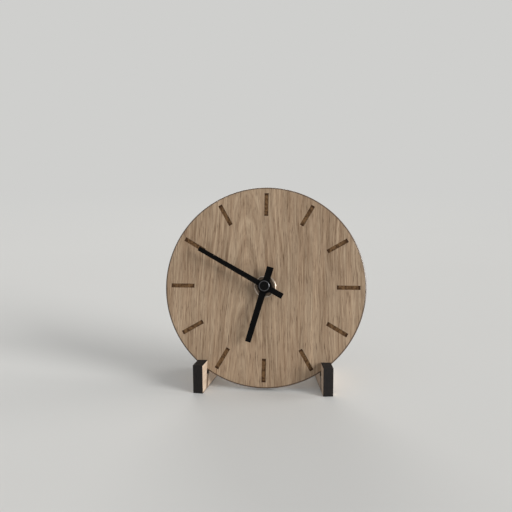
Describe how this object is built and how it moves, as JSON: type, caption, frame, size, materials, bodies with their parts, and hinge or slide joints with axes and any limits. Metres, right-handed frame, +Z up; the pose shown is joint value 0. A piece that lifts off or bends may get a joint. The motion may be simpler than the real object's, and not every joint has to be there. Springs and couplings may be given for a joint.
{
  "type": "desk clock",
  "caption": "Round wooden desk clock that leans back in slotted feet, with straight black hands, burnt hour bars and a quartz movement behind.",
  "frame": {"origin": "on the ground, under the middle of the two feet", "axes": "+Z up, the dial faces -Y, +X to the right of someone reading the clock"},
  "size_m": [0.12, 0.0504, 0.1172],
  "materials": {
    "oak_veneer": "matt oiled oak veneer with burnt hour bars and a charred edge",
    "foot_board": "bare pale board with charred cut edges",
    "black_paint": "matt black",
    "bright_metal": "nickel plated",
    "brass": "turned",
    "black_plastic": "fine moulded grain",
    "white_plastic": "moulded",
    "grey_plastic": "moulded",
    "rubber": "matt",
    "soft_iron": "stamped",
    "magnet": "ground",
    "copper": "enamelled wire",
    "board_laminate": "lacquered laminate",
    "chip_resin": "resin drop",
    "plated_steel": "nickel plated",
    "battery_sleeve": "plain satin sleeve"
  },
  "bodies": {
    "clock_body": {"dial_board": "oak_veneer", "left_foot": "foot_board", "right_foot": "foot_board", "rubber_gasket": "rubber", "threaded_bushing": "bright_metal", "washer": "bright_metal", "fixing_nut": "bright_metal", "movement_case": "black_plastic", "back_cover": "black_plastic", "middle_plate": "grey_plastic", "rear_bridge": "grey_plastic", "stator": "soft_iron", "coil_core": "soft_iron", "coil_bobbin": "grey_plastic", "coil_winding": "copper", "circuit_board": "board_laminate", "chip": "chip_resin", "quartz_crystal": "plated_steel", "positive_contact": "plated_steel", "negative_contact": "plated_steel"},
    "minute_hand_body": {"minute_hand": "black_paint", "cap_nut": "black_paint", "minute_post": "brass"},
    "hour_hand_body": {"hour_hand": "black_paint", "hour_wheel": "white_plastic"},
    "setting_body": {"setting_knob": "black_plastic", "reverser_wheel": "white_plastic"},
    "seconds_body": {"seconds_wheel": "white_plastic"},
    "third_body": {"third_wheel": "white_plastic"},
    "centre_body": {"centre_wheel": "white_plastic"},
    "fifth_body": {"fifth_wheel": "white_plastic"},
    "rotor_body": {"rotor_magnet": "magnet", "rotor_pinion": "brass"},
    "battery_body": {"battery_cell": "battery_sleeve", "battery_cap": "plated_steel"}
  },
  "joints": [
    {"name": "minute_hand_turn", "type": "hinge", "parent": "clock_body", "child": "minute_hand_body", "pos_m": [0, -0.00251, 0.05939], "axis": [0, 0.9659, -0.2588], "continuous": true},
    {"name": "hour_hand_turn", "type": "hinge", "parent": "clock_body", "child": "hour_hand_body", "pos_m": [0, -0.00251, 0.05939], "axis": [0, 0.9659, -0.2588], "continuous": true},
    {"name": "setting_knob_turn", "type": "hinge", "parent": "clock_body", "child": "setting_body", "pos_m": [-0.00752, -0.00322, 0.05675], "axis": [0, 0.9659, -0.2588], "continuous": true},
    {"name": "seconds_wheel_turn", "type": "hinge", "parent": "clock_body", "child": "seconds_body", "pos_m": [0, -0.00251, 0.05939], "axis": [0, 0.9659, -0.2588], "continuous": true},
    {"name": "third_wheel_turn", "type": "hinge", "parent": "clock_body", "child": "third_body", "pos_m": [0.00677, -0.00315, 0.05701], "axis": [0, 0.9659, -0.2588], "continuous": true},
    {"name": "centre_wheel_turn", "type": "hinge", "parent": "clock_body", "child": "centre_body", "pos_m": [0, -0.00251, 0.05939], "axis": [0, 0.9659, -0.2588], "continuous": true},
    {"name": "fifth_wheel_turn", "type": "hinge", "parent": "clock_body", "child": "fifth_body", "pos_m": [0, -0.00065, 0.06635], "axis": [0, 0.9659, -0.2588], "continuous": true},
    {"name": "rotor_turn", "type": "hinge", "parent": "clock_body", "child": "rotor_body", "pos_m": [0, 0.00117, 0.07311], "axis": [0, 0.9659, -0.2588], "continuous": true},
    {"name": "battery_lift", "type": "slide", "parent": "clock_body", "child": "battery_body", "axis": [0, 0.9659, -0.2588], "range_m": [0, 0.02]}
  ],
  "couplings": [
    {"joint": "hour_hand_turn", "follows": "minute_hand_turn", "ratio": 0.083333},
    {"joint": "setting_knob_turn", "follows": "minute_hand_turn", "ratio": -0.33333},
    {"joint": "third_wheel_turn", "follows": "seconds_wheel_turn", "ratio": -0.13333},
    {"joint": "centre_wheel_turn", "follows": "seconds_wheel_turn", "ratio": 0.016667},
    {"joint": "fifth_wheel_turn", "follows": "seconds_wheel_turn", "ratio": -5},
    {"joint": "rotor_turn", "follows": "seconds_wheel_turn", "ratio": 30}
  ]
}
